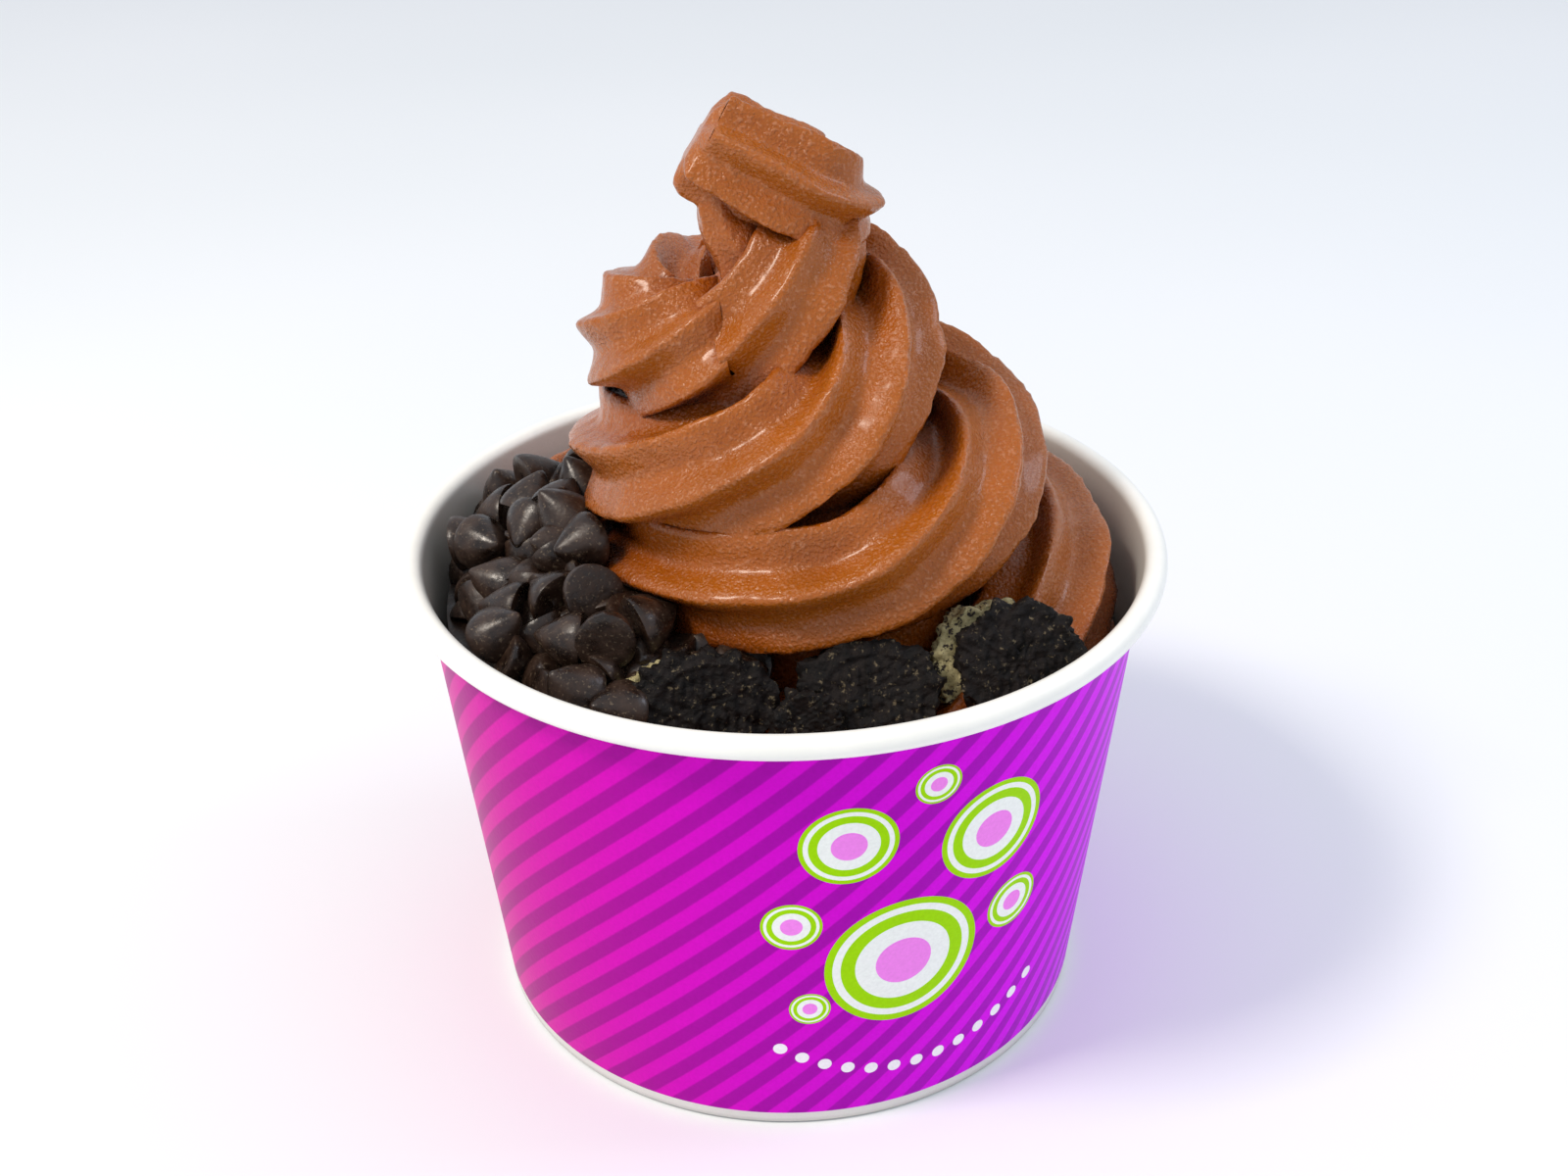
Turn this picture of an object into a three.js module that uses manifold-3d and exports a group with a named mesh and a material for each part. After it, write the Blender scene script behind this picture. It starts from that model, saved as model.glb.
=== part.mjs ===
// Chocolate frozen yogurt in a paper tub: a tall swirl piped from a star nozzle, with a heap
// of chocolate chips on the left and broken chocolate sandwich cookies along the front.
// Lengths are in millimetres. +Z is up, the origin is on the table under the tub's axis,
// and -Y is the front, where the cookies are.

import * as THREE from "three";
import { mergeVertices } from "three/addons/utils/BufferGeometryUtils.js";
import Module from "manifold-3d";

const wasm = await Module();
wasm.setup();

// Paper tub
const TUB_HEIGHT = 74.2;
const RIM_RADIUS = 56;
const RIM_ROLL_RADIUS = 1.7;
const FOOT_RADIUS = 45.7;
const SHOULDER_RADIUS = 52.8;
const SHOULDER_HEIGHT = 71.2;
const PAPER = 0.6;
const FOOT_FOLD_HEIGHT = 6;
const FLOOR_HEIGHT = 6.6;
const TUB_SEGMENTS = 48;

// Gap left between pieces that touch
const GAP = 0.32;

// Star nozzle
const RIDGES = 7;
const VALLEY_DEPTH = 0.3;
const POINTS_PER_RIDGE = 3;
const RINGS_PER_TURN = 20;

// The swirl, as turns counted from the front of the lowest turn that shows. For each turn: the
// distance of the rope from the middle of its ring, the middle's x, the height, the radius, and
// how many ridges the rope has twisted by, since the tub moved in rings but didn't turn.
const SWIRL = {
  turn: [0, 0.25, 0.75, 1, 1.25, 1.5, 1.75, 2, 2.25, 2.42, 2.58, 2.75, 2.97],
  reach: [32, 31.5, 22.5, 23, 23.5, 22, 20.5, 17.5, 15, 13, 12.2, 12, 8.8],
  middle: [8, 7.5, 4.5, 5, 3.5, 2, 0.5, -0.5, -3.5, -4, -5, -6.4, -4.6],
  height: [46, 69, 74.5, 79, 87.5, 89.5, 87.4, 95, 106.5, 109.5, 105.6, 104.8, 106.6],
  radius: [10.5, 10.5, 10.5, 10.8, 11, 11, 11, 11.2, 11, 10.6, 10.3, 10.2, 10],
  twist: [0, 0, 0, 0.1, 1.7, 3.9, 5.6, 6.4, 7.8, 9.2, 10.3, 11.5, 13.4],
};

// The last of the rope climbs to the curl that it broke off in
const NECK = [
  { at: [-0.8, -9, 111.8], radius: 9.6 },
  { at: [2.5, -7, 116.3], radius: 9 },
  { at: [4.3, -4, 119.9], radius: 8 },
  { at: [4.9, -2, 123.7], radius: 6.5 },
  { at: [4.4, -1, 126.4], radius: 4.5 },
];
const CURL = [
  { at: [-10.6, -2.9, 134], radius: 6.6 },
  { at: [-9.2, -3, 133.1], radius: 7.7 },
  { at: [-5.6, -3.5, 131.5], radius: 8.2 },
  { at: [-0.6, -4, 128.8], radius: 8.4 },
  { at: [4.6, -4, 126], radius: 8.2 },
  { at: [7.2, -1.4, 124.8], radius: 7.4 },
  { at: [9, 2, 125.2], radius: 4.8 },
];
const FLAP = [
  { at: [-7.6, -3, 127.5], radius: 3.6 },
  { at: [-6.9, -3.5, 122.7], radius: 4 },
  { at: [-4, -5, 118.1], radius: 5 },
  { at: [-1.5, -7, 113], radius: 6 },
];
const CURL_RIDGE_TURN = 0.57;

// Yogurt under the swirl: a level fill, a turn of rope against the back wall, and a round
// heart that fills the middle of the swirl
const FILL_HEIGHT = 60.4;
const FILL_DROP = 5;
const BACK_ROPE = { reach: 38, from: 40, to: 158, low: 52, high: 65, radius: 11.5 };
const HEART = [
  { at: [7, 0, 52], radius: 24 },
  { at: [5, 0, 68], radius: 21 },
  { at: [3.5, 0, 82], radius: 16 },
  { at: [0, 0, 94], radius: 11 },
  { at: [-4, 0, 104], radius: 6 },
];

// Chocolate chips
const CHIP_RADIUS = 4.3;
const CHIP_HEIGHT = 7;
const CHIP_SPACING = 6.1;
const CHIP_COUNT = 50;
const HEAP = { from: 139, to: 264, outer: 47, inner: 15, edge: 69.5, top: 78.5, floor: 54 };

// Broken cookies: middle of the face, its heading and how far it leans back
const LEFT_COOKIE = { at: [-11, -38.2, 68.2], heading: -79, lean: 24 };
const MIDDLE_COOKIE = { at: [11, -35.5, 68.4], heading: -88, lean: 36 };
const SMALL_COOKIE = { at: [2.6, -42.3, 67.6], heading: -84, lean: 20 };
const RIGHT_COOKIE = { at: [32.2, -31, 69.8], heading: -76, lean: 30 };
const WAFER_COLOUR = "#241c1b";
const CREAM_COLOUR = "#b9ad80";

// Their layers: width, height and depth, shift of the middle and distance behind the face
const COOKIE_LAYERS = [
  {
    name: "cookie_left_front_wafer",
    place: LEFT_COOKIE,
    size: [20.5, 14, 3.2],
    shift: [0, 0],
    back: 0,
    seed: 11,
    color: WAFER_COLOUR,
  },
  {
    name: "cookie_left_cream",
    place: LEFT_COOKIE,
    size: [20, 12.6, 3],
    shift: [-1.5, -0.4],
    back: 3.54,
    seed: 12,
    color: CREAM_COLOUR,
  },
  {
    name: "cookie_left_back_wafer",
    place: LEFT_COOKIE,
    size: [20, 12.8, 3],
    shift: [-2.6, -0.6],
    back: 6.88,
    seed: 13,
    color: WAFER_COLOUR,
  },
  {
    name: "cookie_middle_wafer",
    place: MIDDLE_COOKIE,
    size: [20, 13, 5],
    shift: [0, 0],
    back: 0,
    seed: 14,
    color: WAFER_COLOUR,
  },
  {
    name: "cookie_small_wafer",
    place: SMALL_COOKIE,
    size: [8.6, 8, 3.6],
    shift: [0, 0],
    back: 0,
    seed: 15,
    color: WAFER_COLOUR,
  },
  {
    name: "cookie_right_wafer",
    place: RIGHT_COOKIE,
    size: [17.2, 16, 3.2],
    shift: [0, 0],
    back: 0,
    seed: 16,
    color: WAFER_COLOUR,
  },
  {
    name: "cookie_right_cream",
    place: RIGHT_COOKIE,
    size: [17, 15.4, 3.4],
    shift: [-2.6, 0.4],
    back: 3.54,
    seed: 17,
    color: CREAM_COLOUR,
  },
];

const RAD = Math.PI / 180;
const FRONT = new THREE.Vector3(0, -1, 0);

// Random numbers from 0 to 1 that come out the same on every run
function makeRandom(seed) {
  let state = seed;
  return () => {
    state = (state * 16807) % 2147483647;
    return state / 2147483647;
  };
}

// Value at u of a smooth curve through the keys that never overshoots between two of them
function smoothValue(keys, values, u) {
  const last = keys.length - 1;
  const slope = (i) => (values[i + 1] - values[i]) / (keys[i + 1] - keys[i]);
  const tangent = (i) => {
    if (i === 0) return slope(0);
    if (i === last) return slope(last - 1);
    const before = slope(i - 1);
    const after = slope(i);
    return before * after <= 0 ? 0 : (2 * before * after) / (before + after);
  };
  let i = 0;
  while (i < last - 1 && u > keys[i + 1]) i += 1;
  const width = keys[i + 1] - keys[i];
  const t = (u - keys[i]) / width;
  const a = (1 + 2 * t) * (1 - t) * (1 - t);
  const b = t * (1 - t) * (1 - t);
  const c = t * t * (3 - 2 * t);
  const d = t * t * (t - 1);
  return a * values[i] + b * width * tangent(i) + c * values[i + 1] + d * width * tangent(i + 1);
}

// Geometry with only positions, shared corners and no empty triangles, faces out
function tidyGeometry(source) {
  let geometry = source.index ? source.clone() : mergeVertices(source);
  geometry.deleteAttribute("normal");
  geometry.deleteAttribute("uv");
  geometry = mergeVertices(geometry, 1e-4);
  const old = geometry.index.array;
  const position = geometry.attributes.position;
  const kept = [];
  let volume = 0;
  const a = new THREE.Vector3();
  const b = new THREE.Vector3();
  const c = new THREE.Vector3();
  for (let i = 0; i < old.length; i += 3) {
    const [p, q, r] = [old[i], old[i + 1], old[i + 2]];
    if (p === q || q === r || r === p) continue;
    kept.push(p, q, r);
    a.fromBufferAttribute(position, p);
    b.fromBufferAttribute(position, q);
    c.fromBufferAttribute(position, r);
    volume += a.dot(b.cross(c));
  }
  if (volume < 0) kept.reverse();
  geometry.setIndex(kept);
  return geometry;
}

function toSolid(source) {
  const geometry = tidyGeometry(source);
  const vertProperties = Float32Array.from(geometry.attributes.position.array);
  const triVerts = Uint32Array.from(geometry.index.array);
  return new wasm.Manifold(new wasm.Mesh({ numProp: 3, vertProperties, triVerts }));
}

function toGeometry(solid) {
  const mesh = solid.getMesh();
  const geometry = new THREE.BufferGeometry();
  const position = new THREE.Float32BufferAttribute(Float32Array.from(mesh.vertProperties), 3);
  geometry.setAttribute("position", position);
  geometry.setIndex(Array.from(mesh.triVerts));
  geometry.computeVertexNormals();
  return geometry;
}

// The one body with the most volume: loose scraps and sealed hollows are left out
function largest(solid) {
  const bodies = solid.decompose();
  return bodies.reduce((best, body) => (body.volume() > best.volume() ? body : best));
}

function join(solids) {
  return solids.reduce((whole, solid) => whole.add(solid));
}

// Closed surface through rings of points, each ring as long as the others, ends closed by fans
function ringSurface(rings) {
  const count = rings[0].length;
  const points = rings.flat();
  const index = [];
  for (let k = 0; k < rings.length - 1; k += 1) {
    for (let j = 0; j < count; j += 1) {
      const a = k * count + j;
      const b = k * count + ((j + 1) % count);
      index.push(a, b, b + count, a, b + count, a + count);
    }
  }
  for (const [k, flip] of [[0, true], [rings.length - 1, false]]) {
    const middle = new THREE.Vector3();
    for (const point of rings[k]) middle.addScaledVector(point, 1 / count);
    const centre = points.push(middle) - 1;
    for (let j = 0; j < count; j += 1) {
      const a = k * count + j;
      const b = k * count + ((j + 1) % count);
      if (flip) index.push(centre, b, a);
      else index.push(centre, a, b);
    }
  }
  const geometry = new THREE.BufferGeometry().setFromPoints(points);
  geometry.setIndex(index);
  return geometry;
}

// Rings of a star section carried along a path and twisted by a number of ridges at each point.
// It is drawn in on the inside of a tight bend, so that the rope never passes through itself.
function ropeRings({ path, radii, twists = [] }, firstSide, valley, grow) {
  const tangents = path.map((point, i) => {
    const before = path[Math.max(i - 1, 0)];
    const after = path[Math.min(i + 1, path.length - 1)];
    return after.clone().sub(before).normalize();
  });
  const side = firstSide.clone();
  return path.map((point, i) => {
    const tangent = tangents[i];
    side.addScaledVector(tangent, -side.dot(tangent)).normalize();
    const up = side.clone().cross(tangent);
    const before = Math.max(i - 1, 0);
    const after = Math.min(i + 1, path.length - 1);
    const bend = tangents[after].clone().sub(tangents[before]);
    bend.divideScalar(path[after].distanceTo(path[before]));
    const ring = [];
    for (let j = 0; j < RIDGES * POINTS_PER_RIDGE; j += 1) {
      const part = [0, 0.3, 0.7][j % POINTS_PER_RIDGE];
      const ridge = Math.floor(j / POINTS_PER_RIDGE) + part + (twists[i] ?? 0);
      const angle = (ridge / RIDGES) * 2 * Math.PI;
      const dip = valley * Math.abs(Math.sin(part * Math.PI)) ** 0.9;
      const offset = side.clone().multiplyScalar(Math.cos(angle));
      offset.addScaledVector(up, Math.sin(angle));
      offset.multiplyScalar(radii[i] * (1 - dip) + grow);
      const inward = offset.dot(bend);
      if (inward > 0.8) offset.multiplyScalar(0.8 / inward);
      ring.push(offset.add(point));
    }
    return ring;
  });
}

// A short rope through stations, closed at both ends
function shortRope(stations, steps, firstSide, valley, grow = 0) {
  const curve = new THREE.CatmullRomCurve3(stations.map((s) => new THREE.Vector3(...s.at)));
  const keys = stations.map((s, i) => i / (stations.length - 1));
  const path = [];
  const radii = [];
  for (let i = 0; i <= steps; i += 1) {
    path.push(curve.getPoint(i / steps));
    radii.push(smoothValue(keys, stations.map((s) => s.radius), i / steps));
  }
  return toSolid(ringSurface(ropeRings({ path, radii }, firstSide, valley, grow)));
}

// Inside radius of the tub's wall at a height
function wallRadius(z) {
  return FOOT_RADIUS + ((SHOULDER_RADIUS - FOOT_RADIUS) * z) / SHOULDER_HEIGHT - PAPER;
}

function lathe(profile) {
  const points = profile.map(([r, z]) => new THREE.Vector2(r, z));
  return tidyGeometry(new THREE.LatheGeometry(points, TUB_SEGMENTS).rotateX(Math.PI / 2));
}

// Side wall: a cone of paper, rolled outward at the rim and folded in under the floor's skirt
function tubWall() {
  const rollMiddle = [RIM_RADIUS - RIM_ROLL_RADIUS, TUB_HEIGHT - RIM_ROLL_RADIUS];
  const roll = [];
  for (let degrees = -135; degrees <= 180; degrees += 45) {
    const angle = degrees * RAD;
    const r = rollMiddle[0] + RIM_ROLL_RADIUS * Math.cos(angle);
    const z = rollMiddle[1] + RIM_ROLL_RADIUS * Math.sin(angle);
    roll.push([r, z]);
  }
  const fold = wallRadius(0) - 2 * GAP - PAPER;
  const slope = wallRadius(FOOT_FOLD_HEIGHT) - wallRadius(0);
  const profile = [
    [fold - PAPER, 0],
    [FOOT_RADIUS, 0],
    [SHOULDER_RADIUS, SHOULDER_HEIGHT],
    ...roll,
    [wallRadius(SHOULDER_HEIGHT - 1), SHOULDER_HEIGHT - 1],
    [wallRadius(PAPER), PAPER],
    [fold, PAPER],
    [fold + slope, FOOT_FOLD_HEIGHT],
    [fold - PAPER + slope, FOOT_FOLD_HEIGHT],
    [fold - PAPER, 0],
  ];
  return lathe(profile);
}

// Floor: a disc set up inside the wall, with its edge turned down as a skirt
function tubFloor() {
  const top = FLOOR_HEIGHT + PAPER;
  const skirtFoot = PAPER + GAP;
  return lathe([
    [0, FLOOR_HEIGHT],
    [wallRadius(FLOOR_HEIGHT) - GAP - PAPER, FLOOR_HEIGHT],
    [wallRadius(skirtFoot) - GAP - PAPER, skirtFoot],
    [wallRadius(skirtFoot) - GAP, skirtFoot],
    [wallRadius(top) - GAP, top],
    [0, top],
  ]);
}

// Height of the level yogurt: gently uneven, lower against the right wall
function fillHeight(x, y) {
  const waves = 0.9 * Math.sin(0.13 * x + 0.6) * Math.cos(0.11 * y - 0.4);
  const drop = FILL_DROP * THREE.MathUtils.smoothstep(x, 22, 50);
  return FILL_HEIGHT + waves - drop;
}

function yogurtFill(grow) {
  const bottom = FLOOR_HEIGHT + PAPER + GAP;
  const segments = 36;
  const rings = [];
  for (const [part, level] of [[1, 0], [1, 1], [0.75, 1], [0.5, 1], [0.25, 1]]) {
    const ring = [];
    for (let j = 0; j < segments; j += 1) {
      const angle = (j / segments) * 2 * Math.PI;
      const lowest = level ? FILL_HEIGHT - FILL_DROP - 1 : bottom;
      const radius = (wallRadius(lowest) - GAP + grow) * part;
      const x = radius * Math.cos(angle);
      const y = radius * Math.sin(angle);
      ring.push(new THREE.Vector3(x, y, level ? fillHeight(x, y) + grow : bottom));
    }
    rings.push(ring);
  }
  return toSolid(ringSurface(rings));
}

function swirlPoint(turn) {
  const at = (name) => smoothValue(SWIRL.turn, SWIRL[name], turn);
  const angle = turn * 2 * Math.PI - Math.PI / 2;
  const x = at("middle") + at("reach") * Math.cos(angle);
  return new THREE.Vector3(x, at("reach") * Math.sin(angle), at("height"));
}

// The swirl's rope and neck, in lengths of half a turn that share their end rings
function swirlSolids(grow) {
  const path = [];
  const radii = [];
  const twists = [];
  const lastTurn = SWIRL.turn[SWIRL.turn.length - 1];
  const count = Math.round(lastTurn * RINGS_PER_TURN);
  for (let i = 0; i <= count; i += 1) {
    const turn = (i / count) * lastTurn;
    path.push(swirlPoint(turn));
    radii.push(smoothValue(SWIRL.turn, SWIRL.radius, turn));
    twists.push(smoothValue(SWIRL.turn, SWIRL.twist, turn));
  }
  const lead = [count - 2, count].map((i) => ({ at: path[i].toArray(), radius: radii[i] }));
  const stations = [...lead, ...NECK];
  const curve = new THREE.CatmullRomCurve3(stations.map((s) => new THREE.Vector3(...s.at)));
  const keys = stations.map((s, i) => i / (stations.length - 1));
  const steps = 9;
  for (let i = 1; i <= steps; i += 1) {
    const part = THREE.MathUtils.lerp(keys[1], 1, i / steps);
    path.push(curve.getPoint(part));
    radii.push(smoothValue(keys, stations.map((s) => s.radius), part));
    twists.push(twists[count]);
  }
  const rings = ropeRings({ path, radii, twists }, FRONT, VALLEY_DEPTH, grow);
  const half = RINGS_PER_TURN / 2;
  const solids = [];
  for (let start = 0; start < rings.length - 1; start += half) {
    solids.push(toSolid(ringSurface(rings.slice(start, start + half + 1))));
  }
  return solids;
}

function backRope(grow) {
  const path = [];
  const radii = [];
  const steps = 10;
  for (let i = 0; i <= steps; i += 1) {
    const to = BACK_ROPE.to * RAD + grow / BACK_ROPE.reach;
    const angle = THREE.MathUtils.lerp(BACK_ROPE.from * RAD, to, i / steps);
    const climb = Math.sin((i / steps) * 0.5 * Math.PI);
    const height = THREE.MathUtils.lerp(BACK_ROPE.low, BACK_ROPE.high, climb);
    const x = BACK_ROPE.reach * Math.cos(angle);
    path.push(new THREE.Vector3(x, BACK_ROPE.reach * Math.sin(angle), height));
    radii.push(BACK_ROPE.radius);
  }
  const side = new THREE.Vector3(path[0].x, path[0].y, 0).normalize();
  return toSolid(ringSurface(ropeRings({ path, radii }, side, VALLEY_DEPTH, grow)));
}

function yogurt() {
  const across = new THREE.Vector3(0, -0.5, 0.87);
  const towardFront = new THREE.Vector3(0, -0.87, -0.5);
  const curlSide = across.multiplyScalar(Math.cos(CURL_RIDGE_TURN));
  curlSide.addScaledVector(towardFront, Math.sin(CURL_RIDGE_TURN));
  return largest(
    join([
      yogurtFill(0),
      backRope(0),
      shortRope(HEART, 6, FRONT, 0),
      ...swirlSolids(0),
      shortRope(CURL, 12, curlSide, VALLEY_DEPTH),
      shortRope(FLAP, 5, FRONT, 0.1),
    ]),
  );
}

// The yogurt's lower part with the gap added all round, to cut from what lies against it
function yogurtClearance() {
  const heart = shortRope(HEART, 6, FRONT, 0, GAP);
  return join([yogurtFill(GAP), backRope(GAP), heart, ...swirlSolids(GAP)]);
}

// One chocolate chip: a round foot with a bent point
function chipSolid(middle, tip, spin) {
  const side = new THREE.Vector3(Math.cos(spin), Math.sin(spin), 0.3);
  side.addScaledVector(tip, -side.dot(tip)).normalize();
  const other = tip.clone().cross(side);
  const levels = [[1, 0.06, 0], [0.58, 0.6, 0.02], [0.12, 1, 0.16]];
  const rings = levels.map(([width, height, bend]) => {
    const ring = [];
    for (let j = 0; j < 6; j += 1) {
      const angle = (j / 6) * 2 * Math.PI;
      const point = middle.clone().addScaledVector(tip, (height - 0.4) * CHIP_HEIGHT);
      point.addScaledVector(side, CHIP_RADIUS * (bend + width * Math.cos(angle)));
      ring.push(point.addScaledVector(other, CHIP_RADIUS * width * Math.sin(angle)));
    }
    return ring;
  });
  return toSolid(ringSurface(rings));
}

// Height of the heap's core: highest half way in, falling to the wall and to both ends
function heapHeight(radius, degrees) {
  const inward = THREE.MathUtils.smoothstep(HEAP.outer - radius, 0, 18);
  const fromStart = THREE.MathUtils.smoothstep(degrees, HEAP.from - 8, HEAP.from + 8);
  const toEnd = 1 - THREE.MathUtils.smoothstep(degrees, HEAP.to - 52, HEAP.to);
  const rise = HEAP.edge + (HEAP.top - HEAP.edge) * inward;
  return 61 + (rise - 61) * Math.min(0.55 + 0.45 * fromStart, 0.3 + 0.7 * toEnd);
}

function heapCore() {
  const steps = 16;
  const rings = [];
  for (let i = 0; i <= steps; i += 1) {
    const degrees = THREE.MathUtils.lerp(HEAP.from, HEAP.to, i / steps);
    const direction = new THREE.Vector3(Math.cos(degrees * RAD), Math.sin(degrees * RAD), 0);
    const ring = [];
    const put = (radius, z) => ring.push(direction.clone().multiplyScalar(radius).setZ(z));
    put(HEAP.inner, HEAP.floor);
    put(HEAP.outer + 3.4, HEAP.floor);
    for (const part of [1, 0.8, 0.6, 0.4, 0.2, 0]) {
      const radius = THREE.MathUtils.lerp(HEAP.inner, HEAP.outer + 3.4, part);
      put(radius, heapHeight(radius, degrees));
    }
    rings.push(ring);
  }
  return toSolid(ringSurface(rings));
}

// Chips strewn over the heap's core, each at least one spacing from the ones before it
function chipSolids() {
  const random = makeRandom(20577);
  const placed = [];
  const solids = [];
  for (let attempt = 0; attempt < 4000 && placed.length < CHIP_COUNT; attempt += 1) {
    const degrees = THREE.MathUtils.lerp(HEAP.from, HEAP.to, random());
    const radius = Math.sqrt(THREE.MathUtils.lerp(HEAP.inner ** 2, HEAP.outer ** 2, random()));
    const spin = random() * 2 * Math.PI;
    const tilt = (20 + 95 * random()) * RAD;
    const lift = 2.6 * random();
    const x = radius * Math.cos(degrees * RAD);
    const y = radius * Math.sin(degrees * RAD);
    const middle = new THREE.Vector3(x, y, heapHeight(radius, degrees) + 1 + lift);
    if (placed.some((other) => other.distanceTo(middle) < CHIP_SPACING)) continue;
    placed.push(middle);
    const tip = new THREE.Vector3(Math.cos(spin), Math.sin(spin), 0).multiplyScalar(Math.sin(tilt));
    tip.z = Math.cos(tilt);
    solids.push(chipSolid(middle, tip, random() * 2 * Math.PI));
  }
  return solids;
}

// Broken piece of a flat layer: a rough many-sided outline with depth, standing on its edge
function brokenLayer({ size, shift, back, seed }, grow) {
  const [width, height, depth] = size;
  const random = makeRandom(seed * 7919);
  const shape = new THREE.Shape();
  const corners = 15;
  for (let j = 0; j < corners; j += 1) {
    const angle = (j / corners) * 2 * Math.PI + 0.1;
    const rough = 1 + 0.14 * (random() - 0.5);
    const reach = (value) => Math.sign(value) * Math.abs(value) ** 0.72 * rough;
    const x = shift[0] + (width / 2 + grow) * reach(Math.cos(angle));
    const y = shift[1] + (height / 2 + grow) * reach(Math.sin(angle));
    if (j === 0) shape.moveTo(x, y);
    else shape.lineTo(x, y);
  }
  const solid = new THREE.ExtrudeGeometry(shape, { depth: depth + 2 * grow, bevelEnabled: false });
  return solid.translate(0, 0, -back - depth - grow);
}

// Turns and moves a cookie mesh so that its face looks along the heading, leaning back
function placeCookie(mesh, { at, heading, lean }) {
  const out = new THREE.Vector3(Math.cos(heading * RAD), Math.sin(heading * RAD), 0);
  const across = new THREE.Vector3(-out.y, out.x, 0);
  const face = out.clone().multiplyScalar(Math.cos(lean * RAD)).setZ(Math.sin(lean * RAD));
  const basis = new THREE.Matrix4().makeBasis(across, face.clone().cross(across), face);
  mesh.setRotationFromMatrix(basis);
  mesh.position.set(...at);
  mesh.updateMatrix();
}

const tub = new THREE.Group();
tub.name = "frozen_yogurt_cup";

function addMesh(name, geometry, color, roughness) {
  const material = new THREE.MeshStandardMaterial({ color, roughness, metalness: 0 });
  material.name = name;
  const mesh = new THREE.Mesh(geometry, material);
  mesh.name = name;
  tub.add(mesh);
  return mesh;
}

const clearance = yogurtClearance();
addMesh("cup_wall", tubWall(), "#c512cf", 0.45);
addMesh("cup_base", tubFloor(), "#f4f2ee", 0.6);
addMesh("frozen_yogurt", toGeometry(yogurt()), "#8a4a26", 0.5);

let cookieClearance = clearance;
for (const layer of COOKIE_LAYERS) {
  const mesh = addMesh(layer.name, brokenLayer(layer, 0), layer.color, 0.9);
  placeCookie(mesh, layer.place);
  const placed = toSolid(mesh.geometry.clone().applyMatrix4(mesh.matrix));
  const cut = largest(placed.subtract(cookieClearance));
  mesh.geometry = toGeometry(cut).applyMatrix4(mesh.matrix.clone().invert());
  const around = toSolid(brokenLayer(layer, GAP).applyMatrix4(mesh.matrix));
  cookieClearance = cookieClearance.add(around);
}

const heap = join([heapCore(), ...chipSolids()]).subtract(cookieClearance);
addMesh("chocolate_chips", toGeometry(largest(heap)), "#2a1d1b", 0.5);

export default tub;
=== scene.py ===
"""Chocolate frozen yogurt in a paper tub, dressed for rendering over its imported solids.

Sizes are in millimetres and become metres where a mesh is made. +Z is up, -Y is the front.
"""

import math

import bpy
import numpy as np
from mathutils import Matrix, Vector
from mathutils.bvhtree import BVHTree


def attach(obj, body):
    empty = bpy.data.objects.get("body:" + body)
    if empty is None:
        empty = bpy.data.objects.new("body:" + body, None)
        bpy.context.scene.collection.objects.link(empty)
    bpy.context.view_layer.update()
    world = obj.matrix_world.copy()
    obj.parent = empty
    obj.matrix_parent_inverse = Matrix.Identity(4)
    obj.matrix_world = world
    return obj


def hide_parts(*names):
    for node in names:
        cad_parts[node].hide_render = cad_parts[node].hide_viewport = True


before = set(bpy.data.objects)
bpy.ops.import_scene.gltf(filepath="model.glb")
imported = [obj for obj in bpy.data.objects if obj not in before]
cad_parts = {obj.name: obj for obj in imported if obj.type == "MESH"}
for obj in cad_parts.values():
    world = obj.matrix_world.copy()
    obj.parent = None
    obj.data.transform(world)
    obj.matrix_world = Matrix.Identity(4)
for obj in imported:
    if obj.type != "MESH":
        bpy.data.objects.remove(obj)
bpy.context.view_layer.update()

# The table, the light and the camera.
# A white table top runs out past the view on all sides. Soft light falls from a large
# panel high on the left, with a weaker one on the right and a pale room all round.

MM = 0.001
TABLE_RADIUS = 2400


def linear(hex_colour):
    """Linear red, green, blue and 1 for an sRGB colour such as "#c512cf"."""
    parts = [int(hex_colour[i:i + 2], 16) / 255 for i in (1, 3, 5)]
    return [p / 12.92 if p <= 0.04045 else ((p + 0.055) / 1.055) ** 2.4 for p in parts] + [1.0]


def add_node(tree, kind, settings=None, inputs=None):
    """Adds a node. settings are its attributes; an input is a value, or a socket to link."""
    node = tree.nodes.new(kind)
    for key, value in (settings or {}).items():
        setattr(node, key, value)
    for key, value in (inputs or {}).items():
        if isinstance(value, bpy.types.NodeSocket):
            tree.links.new(value, node.inputs[key])
        else:
            node.inputs[key].default_value = value
    return node


def new_material(name, **constants):
    """A material with one Principled shader. constants are fixed values of its sockets."""
    material = bpy.data.materials.new(name)
    material.use_nodes = True
    shader = material.node_tree.nodes["Principled BSDF"]
    for key, value in constants.items():
        shader.inputs[key.replace("_", " ")].default_value = value
    return material, material.node_tree, shader


def ramp(tree, factor, stops, interpolation="LINEAR"):
    """Colour ramp on a factor, through (position, hex colour) stops."""
    node = add_node(tree, "ShaderNodeValToRGB", inputs={"Fac": factor})
    band = node.color_ramp
    band.interpolation = interpolation
    while len(band.elements) < len(stops):
        band.elements.new(1.0)
    for element, (position, colour) in zip(band.elements, stops):
        element.position = position
        element.color = linear(colour)
    return node.outputs["Color"]


def noise(tree, vector, size_mm, detail=2.0, roughness=0.5):
    """Noise with lumps of about size_mm, on coordinates in metres."""
    return add_node(
        tree, "ShaderNodeTexNoise", {},
        {"Vector": vector, "Scale": 1000 / size_mm, "Detail": detail, "Roughness": roughness},
    ).outputs["Fac"]


def maths(tree, operation, a, b=0.0):
    node = add_node(tree, "ShaderNodeMath", {"operation": operation}, {0: a, 1: b})
    return node.outputs["Value"]


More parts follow.
